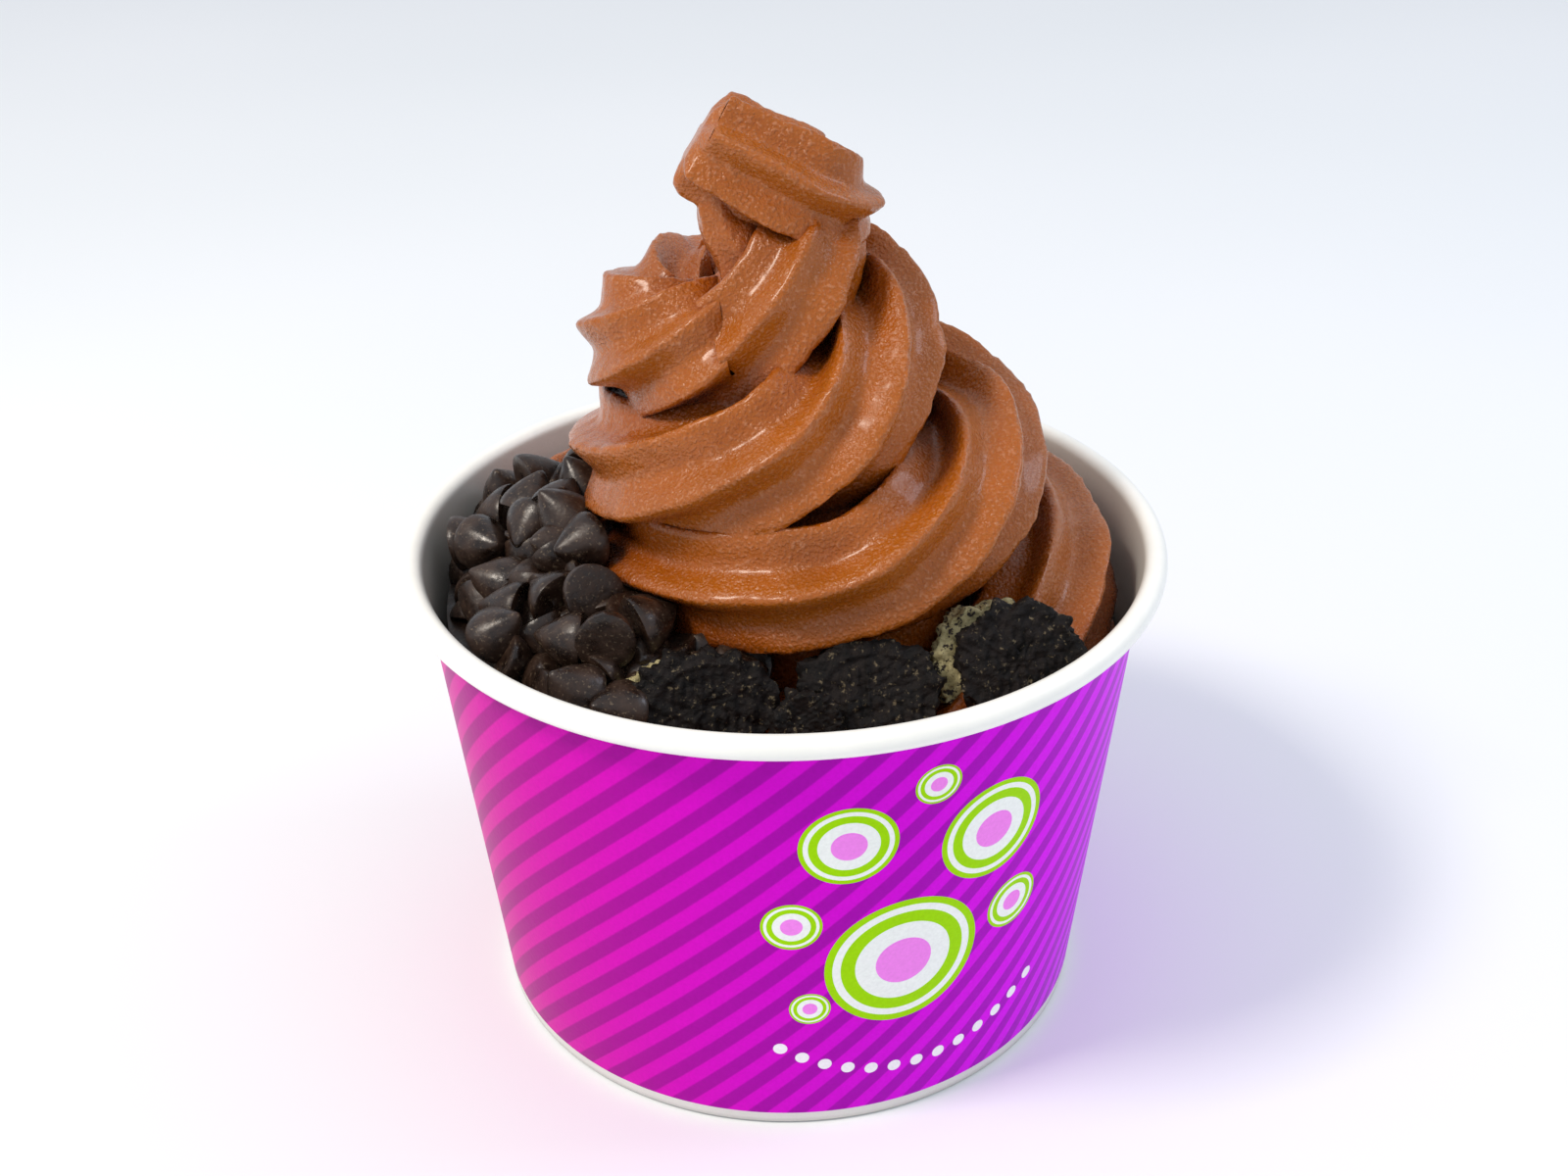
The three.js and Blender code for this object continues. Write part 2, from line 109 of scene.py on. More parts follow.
def mix_colour(tree, factor, a, b, blend="MIX"):
    """Colour a where factor is 0 and b where it is 1. a and b are hex colours or sockets."""
    a = linear(a) if isinstance(a, str) else a
    b = linear(b) if isinstance(b, str) else b
    node = add_node(
        tree, "ShaderNodeMix", {"data_type": "RGBA", "blend_type": blend},
        {"Factor": factor, 6: a, 7: b},
    )
    return node.outputs[2]


def bump(tree, shader, height, depth_mm, strength=1.0):
    node = add_node(
        tree, "ShaderNodeBump", {},
        {"Height": height, "Distance": depth_mm * MM, "Strength": strength},
    )
    tree.links.new(node.outputs["Normal"], shader.inputs["Normal"])


def object_coordinates(tree):
    return add_node(tree, "ShaderNodeTexCoord").outputs["Object"]


def make_mesh(name, points, faces, smooth_angle=50):
    """Object from points in millimetres and a list or array of faces, shaded smooth."""
    mesh = bpy.data.meshes.new(name)
    faces = faces.tolist() if isinstance(faces, np.ndarray) else faces
    mesh.from_pydata((np.asarray(points) * MM).tolist(), [], faces)
    mesh.validate()
    mesh.shade_smooth()
    mesh.set_sharp_from_angle(angle=math.radians(smooth_angle))
    piece = bpy.data.objects.new(name, mesh)
    bpy.context.collection.objects.link(piece)
    return piece


def grid_faces(rows, columns, wrap=True):
    """Quads between neighbouring rows of a grid, row by row, joined round if wrap."""
    row, column = np.meshgrid(np.arange(rows - 1), np.arange(columns if wrap else columns - 1),
                              indexing="ij")
    after = (column + 1) % columns
    a = row * columns + column
    b = row * columns + after
    return np.stack([a, b, b + columns, a + columns], axis=-1).reshape(-1, 4)


angle = np.linspace(0, 2 * np.pi, 96, endpoint=False)
table_points = np.stack([TABLE_RADIUS * np.cos(angle), TABLE_RADIUS * np.sin(angle),
                         np.full(96, -0.05)], axis=-1)
table = make_mesh("table_top", table_points, [list(range(96))])
material, tree, shader = new_material("white_laminate", Roughness=0.55)
spots = noise(tree, object_coordinates(tree), 240, 1)
tree.links.new(ramp(tree, spots, [(0.3, "#eff3f5"), (0.7, "#f3f6f8")]), shader.inputs["Base Color"])
table.data.materials.append(material)

world = bpy.data.worlds.new("pale_room")
world.use_nodes = True
world.node_tree.nodes["Background"].inputs["Color"].default_value = linear("#f3f7ff")
world.node_tree.nodes["Background"].inputs["Strength"].default_value = 0.75
bpy.context.scene.world = world


def add_panel(name, place, size, watts, colour):
    """Square light panel at place, in metres, facing the middle of the tub."""
    light = bpy.data.lights.new(name, "AREA")
    light.size = size
    light.energy = watts
    light.color = linear(colour)[:3]
    lamp = bpy.data.objects.new(name, light)
    bpy.context.collection.objects.link(lamp)
    out = np.array(place) - np.array([0, 0, 0.07])
    out = out / np.linalg.norm(out)
    across = np.cross([0, 0, 1], out)
    across = across / np.linalg.norm(across)
    up = np.cross(out, across)
    turn = Matrix([[across[i], up[i], out[i], place[i]] for i in range(3)] + [[0, 0, 0, 1]])
    lamp.matrix_world = turn


add_panel("left_panel", (-0.5, -0.25, 0.8), 0.2, 5.2, "#fff4e6")
add_panel("right_panel", (0.7, 0.1, 0.6), 0.3, 1.5, "#e6edff")

CAMERA_RISE = math.radians(30.06)
CAMERA_ROLL = math.radians(-0.885)
CAMERA_DISTANCE = 292.3
CAMERA_AIM = 63.88
FOCAL_PIXELS = 1987.8
IMAGE_WIDTH = 1600

forward = np.array([0, math.cos(CAMERA_RISE), -math.sin(CAMERA_RISE)])
level = np.array([1.0, 0, 0])
upright = np.cross(level, forward)
right = math.cos(CAMERA_ROLL) * level + math.sin(CAMERA_ROLL) * upright
above = -math.sin(CAMERA_ROLL) * level + math.cos(CAMERA_ROLL) * upright
eye = (np.array([0, 0, CAMERA_AIM]) - CAMERA_DISTANCE * forward) * MM
lens = bpy.data.cameras.new("camera")
lens.sensor_width = 36
lens.lens = FOCAL_PIXELS / IMAGE_WIDTH * lens.sensor_width
lens.clip_start = 0.01
camera = bpy.data.objects.new("camera", lens)
bpy.context.collection.objects.link(camera)
camera.matrix_world = Matrix(
    [[right[i], above[i], -forward[i], eye[i]] for i in range(3)] + [[0, 0, 0, 1]]
)
bpy.context.scene.camera = camera
bpy.context.scene.view_settings.view_transform = "Standard"

# The tub's side wall.
# Paperboard coated with a thin film of polyethylene, printed outside and white inside. The
# blank is wrapped to a cone, glued in a lapped seam at the back, rolled outward at the rim
# and folded in at the foot.

TUB_HEIGHT = 74.2
RIM_RADIUS = 56.0
RIM_ROLL_RADIUS = 1.7
FOOT_RADIUS = 45.7
SHOULDER_RADIUS = 52.8
SHOULDER_HEIGHT = 71.2
PAPER = 0.6
FOOT_FOLD_HEIGHT = 6.0
GAP = 0.32
PRINT_FOOT = 2.2
SEAM_ANGLE = 97.0
PRINT_ROUND = 311.1


def wall_radius(z):
    """Inside radius of the wall at height z."""
    return FOOT_RADIUS + (SHOULDER_RADIUS - FOOT_RADIUS) * z / SHOULDER_HEIGHT - PAPER


def tub_wall():
    """Profile of radius and height turned about Z; it closes on itself, so the wall is a shell."""
    roll_turn = np.radians(np.linspace(-135, 180, 22))
    roll_middle = (RIM_RADIUS - RIM_ROLL_RADIUS, TUB_HEIGHT - RIM_ROLL_RADIUS)
    roll = np.stack([roll_middle[0] + RIM_ROLL_RADIUS * np.cos(roll_turn),
                     roll_middle[1] + RIM_ROLL_RADIUS * np.sin(roll_turn)], axis=-1)
    fold = wall_radius(0) - 2 * GAP - PAPER
    slope = wall_radius(FOOT_FOLD_HEIGHT) - wall_radius(0)
    levels = np.array([0.35, 1.2, PRINT_FOOT, 10, 20, 30, 40, 50, 60, 66, SHOULDER_HEIGHT])
    outside = np.stack([wall_radius(levels) + PAPER, levels], axis=-1)
    inner = np.array([70.2, 66, 60, 50, 30, 10, PAPER])
    inside = np.stack([wall_radius(inner), inner], axis=-1)
    profile = np.concatenate([
        [[fold - PAPER, 0], [fold - PAPER + 0.1, 0], [FOOT_RADIUS - 0.3, 0]],
        outside, roll, inside,
        [[fold, PAPER], [fold + slope, FOOT_FOLD_HEIGHT], [fold - PAPER + slope, FOOT_FOLD_HEIGHT]],
    ])
    columns = 240
    turn = np.linspace(0, 2 * np.pi, columns, endpoint=False)
    radius, height = profile[:, :1], profile[:, 1:]
    points = np.stack([radius * np.cos(turn), radius * np.sin(turn),
                       height + 0 * turn], axis=-1)
    faces = grid_faces(len(profile), columns)
    last = (len(profile) - 1) * columns
    ring = np.arange(columns)
    after = (ring + 1) % columns
    faces = np.concatenate([faces, np.stack([last + ring, last + after, after, ring], axis=-1)])
    printed = np.zeros(len(faces), dtype=np.int32)
    printed_rows = range(3 + 2, 3 + len(levels))
    for row in printed_rows:
        printed[row * columns:(row + 1) * columns] = 1
    return points.reshape(-1, 3), faces, printed


def add_wrap_map(piece):
    """UV map in units of 100 mm: u is the way round at mid height, v the height."""
    mesh = piece.data
    corners = np.empty(len(mesh.loops), dtype=np.int32)
    mesh.loops.foreach_get("vertex_index", corners)
    points = np.empty(len(mesh.vertices) * 3)
    mesh.vertices.foreach_get("co", points)
    points = points.reshape(-1, 3)[corners]
    turn = np.degrees(np.arctan2(points[:, 1], points[:, 0]))
    turn = (turn - SEAM_ANGLE) % 360
    starts = np.empty(len(mesh.polygons), dtype=np.int32)
    counts = np.empty(len(mesh.polygons), dtype=np.int32)
    mesh.polygons.foreach_get("loop_start", starts)
    mesh.polygons.foreach_get("loop_total", counts)
    face_of = np.repeat(np.arange(len(starts)), counts)
    widest = np.zeros(len(starts))
    np.maximum.at(widest, face_of, turn)
    turn = np.where(turn < widest[face_of] - 180, turn + 360, turn)
    uv = np.stack([(turn + SEAM_ANGLE - 360) / 360 * PRINT_ROUND, points[:, 2] / MM], axis=-1) / 100
    layer = mesh.uv_layers.new(name="wrap")
    layer.data.foreach_set("uv", uv.astype(np.float32).ravel())


wall_points, wall_faces, wall_printed = tub_wall()
wall = make_mesh("tub_wall", wall_points, wall_faces, 40)
wall.data.polygons.foreach_set("material_index", wall_printed)
add_wrap_map(wall)

# White paperboard under polyethylene film: smooth, faintly mottled, a soft gloss, and greyed by
# painted shade where other surfaces close it in
white_board, tree, shader = new_material(
    "white_coated_paperboard", Roughness=0.38, IOR=1.5, Subsurface_Weight=0.0,
)
place = object_coordinates(tree)
mottle = noise(tree, place, 6, 3)
white = ramp(tree, mottle, [(0.3, "#f3f4ee"), (0.7, "#fafaf4")])
# Painted shade: grey #bdbbb4 is mixed in where ambient occlusion within 30 mm is low
painted_shade_openness = add_node(tree, "ShaderNodeAmbientOcclusion", {"samples": 6}, {"Distance": 0.03})
free_of_painted_shade = add_node(tree, "ShaderNodeMapRange", {},
                   {"Value": painted_shade_openness.outputs["AO"], "From Min": 0.2, "From Max": 0.75})
white = mix_colour(tree, free_of_painted_shade.outputs["Result"], "#bdbbb4", white)
tree.links.new(white, shader.inputs["Base Color"])
bump(tree, shader, noise(tree, place, 0.9, 2), 0.02)
wall.data.materials.append(white_board)

# Printed paperboard under polyethylene film: magenta ink in two strengths as slanting
# stripes, with a glossier surface. A painted light tint makes it pinker on the left and more violet on
# the right
printed_board, tree, shader = new_material(
    "printed_coated_paperboard", Roughness=0.34, IOR=1.5, Specular_IOR_Level=0.05,
)
STRIPE_PITCH = 4.4
wrap = add_node(tree, "ShaderNodeUVMap", {"uv_map": "wrap"}).outputs["UV"]
flat = add_node(tree, "ShaderNodeVectorMath", {"operation": "SCALE"}, {0: wrap, "Scale": 100})
flat = flat.outputs["Vector"]
axes = add_node(tree, "ShaderNodeSeparateXYZ", {}, {"Vector": flat})
across, height = axes.outputs["X"], axes.outputs["Y"]
slant = maths(tree, "SUBTRACT", height, across)
turns = maths(tree, "MULTIPLY", slant, 2 * math.pi / (STRIPE_PITCH * math.sqrt(2)))
wave = maths(tree, "SINE", turns)
stripe = add_node(
    tree, "ShaderNodeMapRange", {"interpolation_type": "SMOOTHSTEP"},
    {"Value": wave, "From Min": -0.28, "From Max": 0.28},
).outputs["Result"]
# Painted light: the ink turns from pink at -X to violet at +X, as the warm left light and the bluish
# right light would tint it
side = maths(tree, "MULTIPLY", across, 2 * math.pi / PRINT_ROUND)
side = maths(tree, "COSINE", side)
side = maths(tree, "MULTIPLY_ADD", side, 0.5)
tree.nodes[-1].inputs[2].default_value = 0.5
light_ink = mix_colour(tree, side, "#d20094", "#dc00fa")
dark_ink = mix_colour(tree, side, "#a8007e", "#ac00cc")
ink = mix_colour(tree, stripe, dark_ink, light_ink)

# Printed dots: lime, white and pink rings in a loose cluster, with a bowed row of small
# white dots under them
DOTS = [
    (-61.5, 31.0, 11.5), (-49.0, 50.5, 8.2), (-70.0, 54.0, 6.6), (-77.5, 40.0, 4.2),
    (-43.5, 34.5, 4.6), (-58.5, 62.0, 3.2), (-75.0, 24.0, 3.0),
]
DOT_RINGS = [(0.0, "#f78bf0"), (0.36, "#f6faf6"), (0.62, "#a3e000"), (0.8, "#f6faf6"),
             (0.9, "#a3e000")]
for x, z, radius in DOTS:
    offset = add_node(tree, "ShaderNodeVectorMath", {"operation": "DISTANCE"},
                      {0: flat, 1: (x, z, 0)})
    part = maths(tree, "DIVIDE", offset.outputs["Value"], radius)
    inside = maths(tree, "LESS_THAN", part, 1.0)
    ink = mix_colour(tree, inside, ink, ramp(tree, part, DOT_RINGS, "CONSTANT"))

BOW_MIDDLE = (-58.0, 48.0)
BOW_RADIUS = 38.5
BOW_DOTS_PER_TURN = 64
BOW_HALF_ANGLE = 0.66
from_x = maths(tree, "SUBTRACT", across, BOW_MIDDLE[0])
from_z = maths(tree, "SUBTRACT", BOW_MIDDLE[1], height)
swing = maths(tree, "ARCTAN2", from_x, from_z)
reach = maths(tree, "SQRT", maths(tree, "ADD", maths(tree, "MULTIPLY", from_x, from_x),
                                  maths(tree, "MULTIPLY", from_z, from_z)))
step = maths(tree, "MULTIPLY", swing, BOW_DOTS_PER_TURN / (2 * math.pi))
along = maths(tree, "SUBTRACT", maths(tree, "FRACT", maths(tree, "ADD", step, 100.5)), 0.5)
along = maths(tree, "MULTIPLY", along, 2 * math.pi * BOW_RADIUS / BOW_DOTS_PER_TURN)
off = maths(tree, "SUBTRACT", reach, BOW_RADIUS)
spread = maths(tree, "SQRT", maths(tree, "ADD", maths(tree, "MULTIPLY", along, along),
                                   maths(tree, "MULTIPLY", off, off)))
in_dot = maths(tree, "LESS_THAN", spread, 1.05)
in_bow = maths(tree, "LESS_THAN", maths(tree, "ABSOLUTE", swing), BOW_HALF_ANGLE)
ink = mix_colour(tree, maths(tree, "MULTIPLY", in_dot, in_bow), ink, "#f8f4fa")
place = object_coordinates(tree)
grain = noise(tree, place, 0.5, 1)
grain = add_node(tree, "ShaderNodeMapRange", {}, {"Value": grain, "To Min": 0.9, "To Max": 1.08})
ink = mix_colour(tree, 1.0, ink, grain.outputs["Result"], "MULTIPLY")
tree.links.new(ink, shader.inputs["Base Color"])
bump(tree, shader, noise(tree, place, 1.2, 2), 0.02)
wall.data.materials.append(printed_board)

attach(wall, "root")
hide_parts("cup_wall")

# The tub's floor: a white disc of the same board with its edge turned down as a skirt and
# held in the wall's folded foot. Its solid has the right shape and only gets its finish.
tub_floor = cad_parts["cup_base"]
tub_floor.data.materials.clear()
tub_floor.data.materials.append(white_board)

# The frozen yogurt.
# Chocolate frozen yogurt, soft-served from a nozzle with seven notches. One rope of it lies
# in rising turns on the yogurt that fills the tub, and ends in a curl where it broke off.

RIDGES = 7
VALLEY_DEPTH = 0.3
TOP_VALLEY_LOSS = 0.07
RIDGE_SOFTNESS = 0.22
RINGS_PER_TURN = 220
SWIRL_TURNS = np.array([0, 0.25, 0.75, 1, 1.25, 1.5, 1.75, 2, 2.25, 2.42, 2.58, 2.75, 2.97])
SWIRL_REACH = np.array([32, 31.5, 22.5, 23, 23.5, 22, 20.5, 17.5, 15, 13, 12.2, 12, 8.8])
SWIRL_MIDDLE = np.array([8, 7.5, 4.5, 5, 3.5, 2, 0.5, -0.5, -3.5, -4, -5, -6.4, -4.6])
SWIRL_HEIGHT = np.array([46, 69, 74.5, 79, 87.5, 89.5, 87.4, 95, 106.5, 109.5, 105.6, 104.8, 106.6])
SWIRL_RADIUS = np.array([10.5, 10.5, 10.5, 10.8, 11, 11, 11, 11.2, 11, 10.6, 10.3, 10.2, 10])
# Ridges that the rope has twisted by, since the tub moved in rings but didn't turn
SWIRL_TWIST = np.array([0, 0, 0, 0.1, 1.7, 3.9, 5.6, 6.4, 7.8, 9.2, 10.3, 11.5, 13.4])
NECK_LEAD = 0.1
# Each station is x, y, z and the rope's radius
NECK = np.array([[-0.8, -9, 111.8, 9.6], [2.5, -7, 116.3, 9], [4.3, -4, 119.9, 8],
                 [4.9, -2, 123.7, 6.5], [4.4, -1, 126.4, 4.5]])
CURL = np.array([[-10.6, -2.9, 134, 6.6], [-9.2, -3, 133.1, 7.7], [-5.6, -3.5, 131.5, 8.2],
                 [-0.6, -4, 128.8, 8.4], [4.6, -4, 126, 8.2], [7.2, -1.4, 124.8, 7.4],
                 [9, 2, 125.2, 4.8]])
FLAP = np.array([[-7.6, -3, 127.5, 3.6], [-6.9, -3.5, 122.7, 4], [-4, -5, 118.1, 5],
                 [-1.5, -7, 113, 6]])
HEART = np.array([[7, 0, 52, 24], [5, 0, 68, 21], [3.5, 0, 82, 16], [-5, 0, 95, 17],
                  [-6, 0, 103, 9]])
CURL_RIDGE_TURN = 0.57
FILL_HEIGHT = 60.4
FILL_DROP = 5.0
FLOOR_HEIGHT = 6.6
BACK_ROPE = {"reach": 38, "from": 40, "to": 158, "low": 52, "high": 65, "radius": 11.5}


def smooth_value(keys, values, u):
    """Piecewise cubic through the keys; its slope at a key is the harmonic mean of the slopes
    on the two sides, or 0 where they differ in sign, so it never overshoots."""
    rise = np.diff(values) / np.diff(keys)
    before, after = rise[:-1], rise[1:]
    both = before * after
    inner = np.where(both > 0, 2 * both / np.where(both > 0, before + after, 1), 0)
    tangent = np.concatenate([rise[:1], inner, rise[-1:]])
    i = np.clip(np.searchsorted(keys, u, side="left") - 1, 0, len(keys) - 2)
    width = (keys[1:] - keys[:-1])[i]
    t = (u - keys[i]) / width
    return ((1 + 2 * t) * (1 - t) ** 2 * values[i] + t * (1 - t) ** 2 * width * tangent[i]
            + t * t * (3 - 2 * t) * values[i + 1] + t * t * (t - 1) * width * tangent[i + 1])


def smooth_step(value, low, high):
    t = np.clip((value - low) / (high - low), 0, 1)
    return t * t * (3 - 2 * t)


def spline(stations, part):
    """Centripetal Catmull-Rom curve through the stations' first three columns, at part 0 to 1."""
    p = stations[:, :3]
    p = np.concatenate([[2 * p[0] - p[1]], p, [2 * p[-1] - p[-2]]])
    i = np.minimum((part * (len(stations) - 1)).astype(int), len(stations) - 2)
    t = (part * (len(stations) - 1) - i)[:, None]
    q = [p[i + k] for k in range(4)]
    gap = [np.maximum(np.linalg.norm(q[k + 1] - q[k], axis=1) ** 0.5, 1e-4)[:, None]
           for k in range(3)]
    m1 = (q[1] - q[0]) / gap[0] - (q[2] - q[0]) / (gap[0] + gap[1]) + (q[2] - q[1]) / gap[1]
    m2 = (q[2] - q[1]) / gap[1] - (q[3] - q[1]) / (gap[1] + gap[2]) + (q[3] - q[2]) / gap[2]
    m1, m2 = m1 * gap[1], m2 * gap[1]
    a, b = 2 * q[1] - 2 * q[2] + m1 + m2, -3 * q[1] + 3 * q[2] - 2 * m1 - m2
    return ((a * t + b) * t + m1) * t + q[1]


def soft_noise(points, size, seed, count=14):
    """Sum of sine waves in random directions, about -1 to 1, with lumps of the given size."""
    draw = np.random.default_rng(seed)
    direction = draw.normal(size=(count, 3))
    direction /= np.linalg.norm(direction, axis=1)[:, None]
    pitch = size * draw.uniform(0.75, 1.6, count)
    start = draw.uniform(0, 2 * np.pi, count)
    waves = np.sin(points @ (direction / pitch[:, None] * 2 * np.pi).T + start)
    return waves.sum(axis=-1) / math.sqrt(count) * 1.2


def carried_frames(path, first_side):
    """Tangent, side and up of a path, the side carried along it without turning about it."""
    tangent = np.gradient(path, axis=0)
    tangent /= np.linalg.norm(tangent, axis=1)[:, None]
    side = np.zeros_like(path)
    current = np.array(first_side, dtype=float)
    for i, along in enumerate(tangent):
        current = current - along * (current @ along)
        current /= np.linalg.norm(current)
        side[i] = current
    return tangent, side, np.cross(tangent, side)


PART_OF_RIDGE = np.array([0, 0.05, 0.11, 0.19, 0.29, 0.4, 0.5, 0.6, 0.71, 0.81, 0.89, 0.95])


def rope_rings(path, radii, first_side, valley, twist=0.0):
    """Star section: radius times 1 less valley times the softened sine of the way from ridge
    to ridge, turned back by twist ridges. It is drawn in inside a bend, where it would pass
    through itself."""
    tangent, side, up = carried_frames(path, first_side)
    ridge = (np.arange(RIDGES)[:, None] + PART_OF_RIDGE).ravel()
    turn = (ridge - np.reshape(twist, (-1, 1))) / RIDGES * 2 * np.pi
    bow = np.tile(np.sin(PART_OF_RIDGE * np.pi), RIDGES)
    dip = valley * (np.hypot(bow, RIDGE_SOFTNESS) - RIDGE_SOFTNESS)
    dip = dip / (math.hypot(1, RIDGE_SOFTNESS) - RIDGE_SOFTNESS)
    offset = np.cos(turn)[..., None] * side[:, None, :] + np.sin(turn)[..., None] * up[:, None, :]
    offset = offset * (radii[:, None] * (1 - dip))[..., None]
    bend = np.gradient(tangent, axis=0)
    bend /= np.linalg.norm(np.gradient(path, axis=0), axis=1)[:, None]
    inward = np.einsum("ijk,ik->ij", offset, bend)
    offset = offset * np.where(inward > 0.8, 0.8 / np.maximum(inward, 0.8), 1)[..., None]
    return path[:, None, :] + offset


def closed_tube(rings):
    """Points and faces of a tube through rings, with both ends closed by a fan of triangles."""
    rows, columns = rings.shape[:2]
    points = np.concatenate([rings.reshape(-1, 3), [rings[0].mean(axis=0)], [rings[-1].mean(axis=0)]])
    ring = np.arange(columns)
    after = (ring + 1) % columns
    start = np.full(columns, rows * columns)
    last = (rows - 1) * columns
    ends = np.concatenate([np.stack([start, after, ring], axis=-1),
                           np.stack([start + 1, last + ring, last + after], axis=-1)])
    faces = grid_faces(rows, columns).tolist() + ends.tolist()
    return points, faces


def roughen_rings(rings):
    """Uneven flow: lumps of 11 mm and 2.6 mm, and ragged ridges with lumps of 1.3 mm."""
    middle = rings.mean(axis=1, keepdims=True)
    out = rings - middle
    out /= np.linalg.norm(out, axis=-1, keepdims=True)
    from_ridge = np.minimum(PART_OF_RIDGE, 1 - PART_OF_RIDGE)
    ragged = np.tile(0.07 * np.exp(-(from_ridge / 0.09) ** 2), RIDGES)
    lift = 0.28 * soft_noise(rings, 11, 3) + 0.07 * soft_noise(rings, 2.6, 4)
    lift = lift + ragged * soft_noise(rings, 1.3, 5)
    return rings + out * lift[..., None]


def short_rope(stations, steps, first_side, valley, round_end=1.2):
    part = np.linspace(0, 1, steps + 1)
    path = spline(stations, part)
    keys = np.linspace(0, 1, len(stations))
    radii = smooth_value(keys, stations[:, 3], part)
    travelled = np.concatenate([[0], np.cumsum(np.linalg.norm(np.diff(path, axis=0), axis=1))])
    from_end = np.minimum(travelled, travelled[-1] - travelled) / round_end
    radii = radii * np.sqrt(1 - 0.55 * np.clip(1 - from_end, 0, 1) ** 2)
    return rope_rings(path, radii, first_side, valley)


def swirl_rings():
    last = SWIRL_TURNS[-1]
    count = round(last * RINGS_PER_TURN)
    turn = np.linspace(0, last, count + 1)
    at = [smooth_value(SWIRL_TURNS, v, turn) for v in (SWIRL_REACH, SWIRL_MIDDLE, SWIRL_HEIGHT)]
    heading = turn * 2 * np.pi - np.pi / 2
    path = np.stack([at[1] + at[0] * np.cos(heading), at[0] * np.sin(heading), at[2]], axis=-1)
    radii = smooth_value(SWIRL_TURNS, SWIRL_RADIUS, turn)
    back = count - round(NECK_LEAD * RINGS_PER_TURN)
    lead = np.array([[*path[back], radii[back]], [*path[-1], radii[-1]]])
    stations = np.concatenate([lead, NECK])
    keys = np.linspace(0, 1, len(stations))
    part = np.linspace(keys[1], 1, 40)[1:]
    path = np.concatenate([path, spline(stations, part)])
    radii = np.concatenate([radii, smooth_value(keys, stations[:, 3], part)])
    twist = smooth_value(SWIRL_TURNS, SWIRL_TWIST, turn)
    twist = np.concatenate([twist, np.full(len(part), twist[-1])])
    valley = VALLEY_DEPTH - TOP_VALLEY_LOSS * smooth_step(turn, 2.3, 2.6)
    valley = np.concatenate([valley, np.full(len(part), valley[-1])])[:, None]
    return rope_rings(path, radii, (0, -1, 0), valley, twist)


def back_rope_rings():
    part = np.linspace(0, 1, 90)
    heading = np.radians(BACK_ROPE["from"] + (BACK_ROPE["to"] - BACK_ROPE["from"]) * part)
    height = BACK_ROPE["low"] + (BACK_ROPE["high"] - BACK_ROPE["low"]) * np.sin(part * np.pi / 2)
    path = np.stack([BACK_ROPE["reach"] * np.cos(heading), BACK_ROPE["reach"] * np.sin(heading),
                     height], axis=-1)
    radii = np.full(len(path), float(BACK_ROPE["radius"]))
    return rope_rings(path, radii, (path[0][0], path[0][1], 0), VALLEY_DEPTH)


def fill_rings():
    """Level yogurt: height is FILL_HEIGHT plus slow waves, less a fall towards the right wall,
    plus lumps of 13 mm and 3 mm."""
    columns = 144
    turn = np.linspace(0, 2 * np.pi, columns, endpoint=False)
    bottom = FLOOR_HEIGHT + PAPER + GAP
    top_radius = wall_radius(FILL_HEIGHT - FILL_DROP - 1) - GAP
    rings = [np.stack([(wall_radius(bottom) - GAP) * np.cos(turn),
                       (wall_radius(bottom) - GAP) * np.sin(turn), 0 * turn + bottom], axis=-1)]
    for part in np.linspace(1, 0.3, 40):
        x = top_radius * part * np.cos(turn)
        y = top_radius * part * np.sin(turn)
        drop = np.clip((x - 22) / 28, 0, 1)
        height = FILL_HEIGHT + 0.9 * np.sin(0.13 * x + 0.6) * np.cos(0.11 * y - 0.4)
        height = height - FILL_DROP * drop * drop * (3 - 2 * drop)
        flat_points = np.stack([x, y, 0 * x], axis=-1)
        height = height + 0.35 * soft_noise(flat_points, 13, 8) + 0.1 * soft_noise(flat_points, 3, 9)
        rings.append(np.stack([x, y, height], axis=-1))
    return np.array(rings)


def fuse(name, parts):
    """One closed surface from overlapping closed ones, by a Boolean union on a collection."""
    group = bpy.data.collections.new("parts_to_fuse")
    bpy.context.scene.collection.children.link(group)
    pieces = [make_mesh(f"part_{i}", *part) for i, part in enumerate(parts)]
    for piece in pieces[1:]:
        bpy.context.collection.objects.unlink(piece)
        group.objects.link(piece)
    whole = pieces[0]
    union = whole.modifiers.new("union", "BOOLEAN")
    union.operation = "UNION"
    union.operand_type = "COLLECTION"
    union.collection = group
    union.solver = "MANIFOLD"
    depsgraph = bpy.context.evaluated_depsgraph_get()
    fused = bpy.data.meshes.new_from_object(whole.evaluated_get(depsgraph))
    for piece in pieces:
        bpy.data.objects.remove(piece)
    bpy.data.collections.remove(group)
    fused.name = name
    fused.shade_smooth()
    fused.set_sharp_from_angle(angle=math.radians(55))
    piece = bpy.data.objects.new(name, fused)
    bpy.context.collection.objects.link(piece)
    return piece


curl_side = (np.array([0, -0.5, 0.87]) * math.cos(CURL_RIDGE_TURN)
             + np.array([0, -0.87, -0.5]) * math.sin(CURL_RIDGE_TURN))
swirl = roughen_rings(swirl_rings())
half_turn = RINGS_PER_TURN // 2
OVERLAP = 4
yogurt_parts = [closed_tube(fill_rings())]
for start in range(0, len(swirl) - 1, half_turn):
    end = min(start + half_turn, len(swirl) - 1)
    yogurt_parts.append(closed_tube(swirl[start:end + OVERLAP]))
yogurt_parts.append(closed_tube(roughen_rings(back_rope_rings())))
yogurt_parts.append(closed_tube(short_rope(HEART, 24, (0, -1, 0), 0, 0.1)))
yogurt_parts.append(closed_tube(roughen_rings(short_rope(CURL, 70, curl_side, VALLEY_DEPTH))))
yogurt_parts.append(closed_tube(roughen_rings(short_rope(FLAP, 30, (0, -1, 0), 0.1))))
yogurt = fuse("frozen_yogurt_swirl", yogurt_parts)
